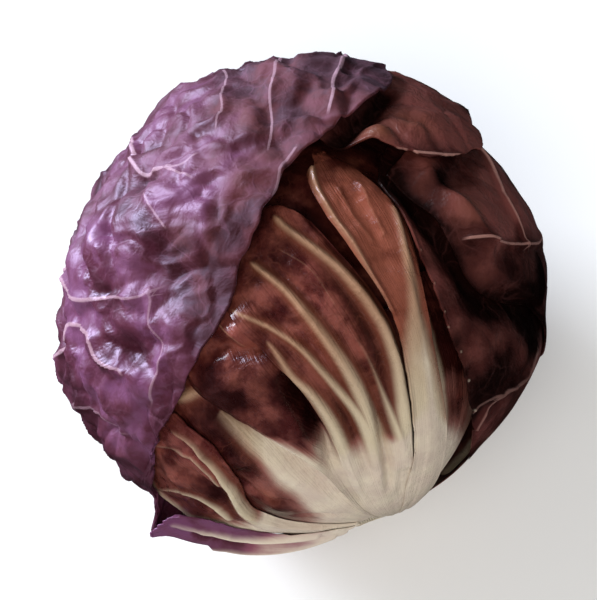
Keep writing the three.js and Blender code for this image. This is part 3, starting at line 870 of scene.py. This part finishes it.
leaves.append({
    "name": "right_wrapper_leaf", "slot": "wrapper_leaf", "seed": 10, "cells": (170, 190),
    "left": [
        (48, 36, 60.4), (42, 45, 60.4), (38.5, 55, 60.2), (36, 66, 60.2), (33.7, 76, 60.2),
        (33.6, 86, 60.2), (34.8, 95, 59.8), (35.6, 105, 58.8), (36, 118, 57.4),
    ],
    "rib": [
        (66, 26, 60), (67, 42, 62), (66, 54, 63), (60, 66, 61), (54, 78, 58.6), (52, 94, 57),
        (52, 108, 56.6), (54, 122, 56),
    ],
    "right": [
        (86, 26, 60.4), (93, 42, 63.4), (95, 54, 65.6), (94, 64, 63.6), (92, 76, 60), (90, 92, 58.6),
        (86, 106, 57.4), (78, 122, 56),
    ],
    "ribs": [
        veinAt([(44, 42), (46, 46), (51, 52), (61, 52), (80, 58)], 0.7, 1.4, 0.35),
        veinAt([(39, 48), (43, 51), (54, 52), (79, 55)], 0.6, 1.0, 0.25),
    ],
    "grooves": [
        grooveAt([(40, 114), (42, 106), (43.5, 96), (45, 86), (48, 78), (58, 72), (80, 64.5)], 5, 3.6),
        grooveAt([(46, 48), (56, 49), (70, 52)], 2.0, 1.6),
        grooveAt([(36, 60), (42, 62), (50, 62)], 1.6, 0.7),
    ],
    "bumps": [(44, 62, 6, 0.8), (60, 60, 7, 1.0)],
    "teeth": [(35, 93.6), (34, 85.4), (34.1, 78.3), (34, 74.4), (36.4, 67.2), (38, 59), (40.5, 50)],
    "paleTop": (16, 20, 16), "crumple": 0.35, "edgeWave": 0.02, "frill": 0.2, "light": -0.2,
    "paintedShadeStrips": [
        ([(39, 118), (42, 107), (44.5, 96), (47, 85), (54, 76), (67, 69), (84, 65)], 5, 1.0),
    ],
    "lightSpots": [
        (35, 96, 4, 0.5), (35, 86, 4, 0.5), (36, 76, 4, 0.4), (42, 66, 5, 0.15), (52, 76, 8, -0.4),
        (75, 66, 9, -0.4), (74, 50, 8, 0.5), (62, 56, 6, 0.2), (88, 54, 7, 0.5),
    ],
})
leaves.append({
    "name": "shoulder_wrapper_leaf", "slot": "wrapper_leaf", "seed": 11, "cells": (190, 210),
    "left": [
        (104, 22, 61), (101, 44, 63.4), (90, 58, 63.8), (76, 66.5, 63.4), (58, 72, 63.4),
        (47.5, 79, 63.6), (45, 90, 64), (44, 100, 63.6), (41.5, 110, 62.4), (40, 117, 60.4),
    ],
    "rib": [
        (114, 20, 61), (111, 42, 63.6), (102, 57, 64.8), (92, 68, 65), (80, 78, 65), (72, 86, 65),
        (68, 94, 65), (68, 102, 64.6), (72, 110, 63.6), (78, 118, 61.6),
    ],
    "right": [
        (122, 22, 59.6), (120, 46, 61), (119, 64, 62.4), (118, 80, 63.4), (114, 92, 63.6),
        (108, 104, 62.6), (101, 116, 60.4), (98, 130, 59.4),
    ],
    "ribs": [
        ribAt([(53, 87), (49, 91.5), (48, 97), (48, 104), (46.5, 110)], 2.2, 1.3, 0.001),
        veinAt([(85, 114), (80, 111.6), (73.9, 107.6), (71.2, 103.2), (68.4, 98.9), (65.5, 93.7),
              (65.3, 86.9), (65.7, 81)], (1.0, 0.9, 0.5), (1.0, 1.2, 0.8), (1, 0.8, 0.5)),
        veinAt([(80, 82), (71.9, 82.1), (57.7, 85.7), (50, 89.5), (46.5, 91.5)],
             0.45, (0.8, 1.0), (0.5, 0.7)),
        ribAt([(94, 118), (87, 113), (81, 109)], 1.1, 1.0, (1, 0.9)),
        ribAt([(118, 44), (104, 62), (92, 76), (80, 84)], (2, 1), (1.2, 0.6), (1, 0.5)),
    ],
    "grooves": [
        grooveAt([(60, 84), (54, 82), (50, 84)], 3, 1.2),
        grooveAt([(62, 104), (52, 104), (44, 106)], 3.5, 2.2),
    ],
    "bumps": [(47, 98, 5, 1.0), (54, 94, 6, 0.8), (70, 92, 5, 0.6)],
    "rollOff": {-1: (0.76, 6.0)}, "paleTop": (30, 36, 30), "crumple": 0.4, "edgeWave": 0.02,
    "frill": 0.1, "light": -0.05,
    "lightSpots": [
        (50, 98, 4, 0.7), (56, 92, 6, 0.45), (74, 92, 8, 0.6), (66, 100, 4, 0.4), (80, 104, 7, 0.5),
        (56, 82, 5, 0.1), (86, 84, 8, 0.4), (70, 72, 8, -0.4), (50, 106, 3, -0.6),
    ],
    "warmSpots": [(50, 97, 4, 0.4)],
    "paintedShadeStrips": [
        ([(41, 117), (42.5, 104), (43, 92), (46, 80), (57, 72), (76, 66), (90, 59)], 2.8, 0.95),
    ],
})
leaves.append({
    "name": "frilled_leaf", "slot": "waxy_leaf", "seed": 12, "cells": (150, 150),
    "left": [(-84, 18, 60), (-94, 30, 62.6), (-94, 44, 65.4), (-88, 57, 68)],
    "rib": [(-56, 15, 61), (-69, 26, 64.4), (-74, 36, 66.6), (-76.5, 46, 67.6), (-77.5, 57, 69.4)],
    "right": [
        (-30, 16, 60.2), (-42, 25, 60.6), (-54, 34, 61), (-62, 43, 61.4), (-69, 53, 61.8),
        (-73, 60, 63),
    ],
    "ribs": [
        ribAt([(-46, 24), (-58, 33), (-66, 42), (-71, 50), (-74, 57)],
            (2, 0.8, 0.6), (0.6, 1.4, 1.0), (1, 0.7, 0.35)),
        ribAt([(-50, 18), (-64, 27), (-71, 37), (-75, 46)], (2, 0.7, 0.6), (0.6, 1.4), (1, 0.5)),
        ribAt([(-52, 14), (-66, 21), (-73, 30), (-77, 40)], (2, 0.7), (0.6, 1.4), (1, 0.6)),
    ],
    "grooves": [
        grooveAt([(-52, 24), (-62, 32), (-69, 41), (-73, 50)], 1.1, 2.4),
        grooveAt([(-58, 18), (-67, 25), (-73, 34), (-76.5, 43)], 1.2, 2.6),
    ],
    "paleTop": (20, 20, 24, 28, 32), "paleBlend": 16, "crumple": 0.9, "frill": 1.6, "edgeWave": 0.09,
    "light": 0.15, "warm": 0.9, "warmSpots": [(-75, 56, 5, -0.9)], "lightSpots": [(-75, 55, 5, 0.4)],
    "paintedShadeStrips": [
        ([(-52, 24), (-62, 32), (-69, 41), (-73, 50)], 0.9, 0.6),
        ([(-58, 18), (-67, 25), (-73, 34), (-76.5, 43)], 0.9, 0.6),
    ],
})
leaves.append({
    "name": "back_wrapper_leaf", "slot": "wrapper_leaf", "seed": 13, "cells": (140, 150),
    "left": [(166, 20, 62.8), (142, 50, 65), (128, 84, 66), (134, 116, 66), (160, 138, 66)],
    "rib": [(-174, 17, 62.8), (-172, 50, 65.6), (-174, 88, 66.4), (-178, 122, 66.4), (180, 148, 66)],
    "right": [(-152, 20, 62.8), (-134, 50, 66), (-126, 84, 67.2), (-134, 114, 67.2), (-162, 138, 66.6)],
    "ribs": [
        ribAt([(-174, 18), (-172, 50), (-174, 88), (-178, 122), (180, 144)], (4, 1.4), (1.4, 0.8)),
    ],
    "paleTop": (30, 46, 30), "crumple": 0.6,
})
leaves.append({
    "name": "crown_wrapper_leaf", "slot": "wrapper_leaf", "seed": 14, "cells": (190, 230), "layer": 1,
    "left": [
        (130, 20, 60), (118, 56, 63), (112, 94, 63.4), (104, 112, 66), (86, 115, 67), (72, 109, 67),
        (63, 105, 66.4),
    ],
    "rib": [
        (152, 18, 60.2), (150, 58, 63), (148, 98, 63.4), (134, 132, 63.8), (84, 132, 65.6),
        (47, 110.5, 65.8),
    ],
    "right": [
        (172, 20, 60.2), (178, 58, 62.4), (-176, 98, 60.4), (-160, 138, 60.4), (16, 146, 59.4),
        (34.6, 118.5, 64),
    ],
    "ribs": [
        ribAt([(152, 18), (150, 58), (148, 98), (134, 130), (100, 138), (80, 130)],
            (4, 2, 1, 0.6), (1.4, 0.4), (1, 0.8, 0.3)),
        veinAt([(36, 118), (40, 116), (45, 112.6), (51, 109.6), (58, 107)], 0.5, 0.3, (0.3, 0.9, 0.8)),
    ],
    "grooves": [
        grooveAt([(66, 131), (56, 129.5), (47.7, 127.8), (39, 126.5), (31.7, 125), (24, 126)], 3.0, 5),
        grooveAt([(52, 112), (54, 118), (50, 124)], 1.6, 1.4),
        grooveAt([(44, 115), (45, 121), (42, 126)], 1.4, 1.2),
    ],
    "bumps": [(40, 121, 4.5, 2.4), (50, 118, 4, 1.2), (60, 118, 7, 1.0), (66, 112, 5, 0.8)],
    "paleTop": (30, 44, 30), "crumple": 0.6, "edgeWave": 0.015, "frill": 0.1, "light": 0.2,
    "lightSpots": [(40, 121, 4, 0.9), (60, 118, 8, 0.4), (74, 128, 12, 0.4), (50, 116, 4, 0.3)],
    "paintedShadeStrips": [([(60, 130), (47.7, 128), (39, 126.5), (30, 125)], 2.4, 1.0)],
    "warmSpots": [(40, 121, 4, 0.9), (52, 119, 5, 0.5), (36, 118, 2, -1)],
})
leaves.append({
    "name": "left_wrapper_leaf", "slot": "waxy_leaf", "seed": 15, "cells": (215, 225), "layer": 1,
    "packAcross": ((-1, -0.4, 1), (-1, -0.1, 1)), "packAlong": ((0, 0.1, 1), (0, 0.22, 1)),
    "left": [
        (-136, 20, 60.4), (-150, 50, 61), (-160, 85, 61.6), (-168, 118, 62), (-178, 142, 63.2),
        (150, 152, 64),
    ],
    "rib": [
        (-118, 18, 60.4), (-112, 50, 63), (-108, 85, 64), (-106, 118, 63.6), (-118, 150, 64),
        (120, 160, 64.6),
    ],
    "right": [
        (-104, 24, 60.4), (-85, 60, 61.6), (-53.5, 74.3, 60.8), (-33, 86, 60.6), (-19, 97, 60.6),
        (-4.5, 110.3, 61), (11, 122.6, 62), (32.4, 129, 64.8), (59, 130.5, 66), (88, 138, 66),
    ],
    "ribs": [
        ribAt([(-118, 18), (-112, 50), (-108, 85), (-106, 118), (-118, 148)], (3, 1.4), (2, 1), (1, 0.8)),
        veinAt([(-80, 158), (-64, 157), (-45, 149), (-37, 144), (-33, 141), (-27, 140), (-22, 139),
              (-16, 135), (-10, 130)], (0.8, 0.7, 0.4), (1.2, 1.2, 0.6), (1, 0.9, 0.6)),
        veinAt([(-100, 120), (-80, 123), (-72, 120), (-67, 117), (-58, 114), (-50, 113), (-43, 112),
              (-36, 110), (-27, 111)], (0.9, 0.8, 0.4), (1.2, 1.2, 0.5), (1, 0.9, 0.4)),
        veinAt([(-100, 100), (-80, 103), (-71, 106), (-70, 109), (-65, 109), (-58, 107), (-55, 105),
              (-54, 101), (-51, 98), (-47, 96), (-46, 94)],
             (0.8, 0.8, 0.5), (1.0, 1.1, 0.5), (1, 0.9, 0.6)),
        veinAt([(62, 157), (40, 152), (29, 147), (24, 144), (18, 137), (12, 131)],
             (0.6, 0.4), (0.7, 0.5), (0.6, 0.7)),
        veinAt([(86, 145), (59, 142), (47, 139), (40, 135), (33, 131)], (0.8, 0.5), (0.9, 0.6), (0.7, 0.9)),
        veinAt([(33, 170), (22, 162), (9, 152), (6, 147), (3, 145), (0, 142)],
             (0.5, 0.35), (0.5, 0.4), (0.6, 0.5)),
        veinAt([(-28, 133), (-26, 130), (-24, 126), (-22, 122)], 0.4, 0.4, 0.5),
        veinAt([(-8, 138), (-15, 137), (-21, 139)], 0.4, 0.4, 0.5),
        veinAt([(-32, 112), (-32, 108), (-34, 104), (-33, 97), (-38, 91), (-44, 85)], 0.5, 0.6, (0.3, 0.5)),
        veinAt([(-110, 84), (-96, 86), (-84, 90), (-72, 90), (-62, 86), (-56, 80)],
             (0.8, 0.5), (0.8, 0.4), (0.6, 0.3)),
        veinAt([(20, 128), (14, 126), (10, 122), (7, 119)], 0.5, 0.5, 0.5),
    ],
    "grooves": [
        grooveAt([(-46, 128), (-43, 127), (-40, 124), (-34, 123), (-30, 120), (-25, 117), (-19, 116)],
               1.1, 2.2),
        grooveAt([(-27, 139), (-19, 140), (-9, 140), (0, 140)], 0.8, 0.8),
        grooveAt([(-12, 159), (-8, 147), (-7, 141)], 1.0, 0.9),
        grooveAt([(-27, 111), (-31, 105), (-33, 99), (-43, 92)], 2.4, 1.6),
        grooveAt([(-48, 103), (-44, 98), (-40, 95), (-36, 92)], 1.6, 1.4),
        grooveAt([(24, 143), (20, 140), (14, 133)], 2.5, 1.6),
        grooveAt([(40, 141), (30, 138), (18, 130)], 2.2, 1.8),
        grooveAt([(-56, 98), (-62, 92), (-66, 84)], 1.6, 1.2),
        grooveAt([(-21, 132), (-14, 131), (-8, 129), (-14, 126), (-24, 127)], 1.2, 0.9),
    ],
    "bumps": [
        (-21, 130, 6, 1.8), (-36, 127, 6, 1.3), (-48, 125, 5, 1.0), (13, 142, 5, 1.0),
        (-3, 153, 6, 0.9), (13, 151, 4, 0.7), (-13, 146, 6, 0.9), (-34, 117, 6, 1.0),
        (-58, 112, 7, 1.0), (-44, 90, 6, 1.4), (-29, 101, 5, 1.2), (-10, 135, 5, 0.8),
        (-31, 138, 4, -2.8), (-45, 127, 2, -3), (-25, 119, 5, -1.6), (-31, 113, 4, -1.4),
        (-25, 109, 5, -1.8), (-63, 84, 5, -1.4), (-43, 99, 5, -1.6), (-20, 113, 4, -0.9),
        (40, 150, 8, 1.6), (-60, 98, 7, 1.0), (-52, 86, 5, 1.0), (-84, 160, 17, -3.6),
        (-88, 142, 13, -2.4), (-84, 150, 4, 0.9), (-84, 133, 4, 0.9), (-83, 168, 4, 0.8),
    ],
    "lightSpots": [
        (-21, 130, 7, 0.6), (-36, 127, 7, 0.5), (-48, 125, 6, 0.4), (13, 142, 5, 0.5),
        (-3, 153, 6, 0.3), (-34, 117, 6, 0.4), (-58, 112, 8, 0.5), (-44, 90, 7, 0.5),
        (-29, 101, 6, 0.3), (-52, 74, 6, 0.4), (-60, 98, 10, 0.3), (-66, 120, 10, 0.4),
        (-31, 138, 4, -0.6), (-25, 119, 5, -0.5), (-25, 109, 6, -0.5), (-43, 99, 5, -0.4),
        (-14, 112, 7, -0.3), (30, 140, 10, -0.2), (50, 150, 12, -0.2), (-18, 96, 6, -0.2),
        (-60, 80, 10, 0.3),
    ],
    "warmSpots": [
        (14, 139, 4, 0.5), (-4, 134, 4, 0.5), (24, 138, 10, 0.8), (36, 148, 14, 0.8),
        (60, 144, 16, 0.8), (5, 148, 3, 0.7), (-20, 118, 5, 0.8), (-40, 70, 8, -0.2),
        (-62, 90, 14, -0.2), (-50, 115, 16, -0.2), (-20, 145, 8, 0.25),
    ],
    "warmStrips": [
        ([(70, 132), (50, 129), (34, 129), (20, 127), (11, 122.6), (0, 114.5), (-9, 106), (-15, 101)],
         12),
    ],
    "paleTop": (28, 40, 20), "crumple": 1.0, "sharp": 1.35, "edgeWave": 0.02, "waves": 14, "frill": 0.3,
    "warm": 0.3,
})


heart = {
    "reach": 49.4,
    "foldTurn": 72,  # from one folded edge to the next round the stalk
    "foldClimb": 140,
    "foldHeight": 1.3,
    "puffHeight": 0.8,
    "ribPale": 0.6,
    "paleTop": 45,
    "paleBlend": 26,
}


def makeHeart():  # the folded leaves inside, as one closed body with their overlapping edges
    bpy.ops.object.select_all(action="DESELECT")
    bpy.ops.mesh.primitive_uv_sphere_add(segments=180, ring_count=120, radius=1)
    piece = bpy.context.object
    piece.name = "heart_visual"
    mesh = piece.data
    headings = unit(cornersOf(mesh))
    turn, climb = degreesOf(headings)
    spiral = (turn / heart["foldTurn"] + climb / heart["foldClimb"]) % 1
    fold = spiral**2 * np.sin(np.radians(climb))
    reach = heart["reach"] + heart["foldHeight"] * fold
    reach = reach + heart["puffHeight"] * (puffs(headings) - 0.6) * step(40, 90, climb)
    mesh.vertices.foreach_set("co", onTable(headings, reach, 3 * head["layerStep"]).ravel())
    rib = heart["ribPale"] * np.exp(-(((spiral - 0.5) / 0.05) ** 2)) * step(150, 60, climb)
    addAttributes(mesh, rib=rib, vein=0 * turn, veinOff=0 * turn + 4, blush=0 * turn)
    base = np.clip(0.5 + (heart["paleTop"] - climb) / heart["paleBlend"], 0, 1)
    light = 0.3 + 0.5 * softNoise(headings * 50, 9)
    warm = 0.2 + 0.5 * softNoise(headings * 50, 12, 3.0)
    addAttributes(mesh, base=base, light=light, warm=warm, up=climb / 180)
    mesh.update()
    finishPiece(piece, "heart", materials["inner_leaf"])
    cover(headings, reach)
    print("heart made")


def stalkMaterial():
    material, tree, shader = newMaterial("stalk")
    place = node(tree, "ShaderNodeTexCoord").outputs["Object"]
    streaks = noise(tree, place, 260.0, 5.0)
    stain = noise(tree, place, 90.0, 3.0)
    cut = attribute(tree, "cutFace")
    ring = attribute(tree, "ring")
    tone = mixColour(tree, mapRange(tree, streaks, 0.3, 0.7), colour(0.5, 0.42, 0.27), cream)
    browned = times(tree, cut, mapRange(tree, stain, 0.35, 0.65, 0.45, 0.95))
    tone = mixColour(tree, browned, tone, colour(0.3, 0.17, 0.075))
    tone = mixColour(tree, ring, tone, colour(0.16, 0.08, 0.035))
    tree.links.new(tone, shader.inputs["Base Color"])
    shader.inputs["Roughness"].default_value = 0.55
    addBump(tree, shader, streaks, 0.5, 0.0005)
    return material


stalk = {
    "radius": 12.2,
    "end": 60,  # reach of the cut face
    "neck": 51.2,  # reach of the end inside the head
    "trim": 1.2,
    "ringRadius": 7.5,  # a brown ring on the cut face
    "ringWidth": 0.8,
    "insets": 5,
}


def makeStalk():  # cut across just below the leaves
    bpy.ops.object.select_all(action="DESELECT")
    length = stalk["end"] - stalk["neck"]
    bpy.ops.mesh.primitive_cylinder_add(vertices=96, radius=stalk["radius"], depth=length)
    piece = bpy.context.object
    piece.name = "cut_stalk_visual"
    bpy.ops.object.mode_set(mode="EDIT")
    bpy.ops.mesh.select_all(action="SELECT")
    bpy.ops.mesh.bevel(offset=stalk["trim"], segments=3, affect="EDGES")
    bpy.ops.mesh.select_all(action="DESELECT")
    bpy.ops.object.mode_set(mode="OBJECT")
    for face in piece.data.polygons:
        face.select = abs(face.normal.z) > 0.99 and face.area > 100
    bpy.ops.object.mode_set(mode="EDIT")
    for _ in range(stalk["insets"]):
        bpy.ops.mesh.inset(thickness=stalk["radius"] / 7)
    bpy.ops.mesh.poke()
    bpy.ops.mesh.select_all(action="SELECT")
    bpy.ops.mesh.subdivide(number_cuts=1)
    bpy.ops.object.mode_set(mode="OBJECT")
    mesh = piece.data
    flat = cornersOf(mesh)
    flat[:, 2] -= (stalk["end"] + stalk["neck"]) / 2
    out = np.hypot(flat[:, 0], flat[:, 1])
    atCut = step(-stalk["end"] + 1.0, -stalk["end"], flat[:, 2])
    flat[:, 2] += atCut * (0.8 * softNoise(flat, 4) + 0.5)
    points = flat @ headTurn.T
    mesh.vertices.foreach_set("co", (points * mm + headMiddle).ravel())
    ring = atCut * np.exp(-(((out - stalk["ringRadius"]) / stalk["ringWidth"]) ** 2))
    addAttributes(mesh, cutFace=atCut, ring=ring)
    mesh.update()
    finishPiece(piece, "cut_stalk", stalkMaterial())
    print("stalk made")


makeHeart()
makeStalk()
for leaf in leaves:
    makeLeaf(leaf)


# The stage.
stage = {
    "lens": 135,
    "distance": 0.593,
    "elevation": 70,
    "lift": 0.0008,
    "floorSize": 6,
    "floorTone": (0.93, 0.93, 0.93),
    "skyTone": (0.93, 0.96, 1.0),
    "skyStrength": 0.34,
}
lamps = [  # only the window is mirrored in the leaves
    {"name": "window", "place": (-0.80, 0.50, 0.42), "size": 0.5, "power": 19.5, "tint": (0.84, 0.90, 1.0),
     "mirrored": True},
    {"name": "fill", "place": (-0.1, -0.55, 0.85), "size": 0.7, "power": 6, "tint": (1.0, 0.96, 0.90),
     "mirrored": False},
]


def addCamera():
    data = bpy.data.cameras.new("camera")
    camera = bpy.data.objects.new("camera", data)
    bpy.context.scene.collection.objects.link(camera)
    tilt = math.radians(stage["elevation"])
    back = Vector((0, -math.cos(tilt), math.sin(tilt)))
    up = Vector((0, math.sin(tilt), math.cos(tilt)))
    camera.location = Vector(headMiddle) + back * stage["distance"] + up * stage["lift"]
    camera.rotation_euler = (math.pi / 2 - tilt, 0, 0)
    data.lens = stage["lens"]
    bpy.context.scene.camera = camera


def addLamp(look):
    data = bpy.data.lights.new(look["name"], "AREA")
    data.size = look["size"]
    data.energy = look["power"]
    data.color = look["tint"]
    lamp = bpy.data.objects.new(look["name"], data)
    bpy.context.scene.collection.objects.link(lamp)
    lamp.location = look["place"]
    lamp.rotation_euler = (Vector(headMiddle) - lamp.location).to_track_quat("-Z", "Y").to_euler()
    lamp.visible_glossy = look["mirrored"]


def addFloor():
    bpy.ops.object.select_all(action="DESELECT")
    bpy.ops.mesh.primitive_plane_add(size=stage["floorSize"])
    floor = bpy.context.object
    floor.name = "floor"
    floor.visible_glossy = False  # a mirrored floor would grey the dark leaves at the limb
    material, _, shader = newMaterial("floor")
    shader.inputs["Base Color"].default_value = colour(*stage["floorTone"])
    shader.inputs["Roughness"].default_value = 0.9
    floor.data.materials.append(material)


def addWorld():
    world = bpy.data.worlds.new("world")
    world.use_nodes = True
    sky = world.node_tree.nodes["Background"]
    sky.inputs[0].default_value = colour(*stage["skyTone"])
    sky.inputs[1].default_value = stage["skyStrength"]
    world.cycles_visibility.glossy = False
    bpy.context.scene.world = world


addCamera()
addFloor()
addWorld()
for lampLook in lamps:
    addLamp(lampLook)
bpy.context.scene.view_settings.view_transform = "Standard"
print("stage set")
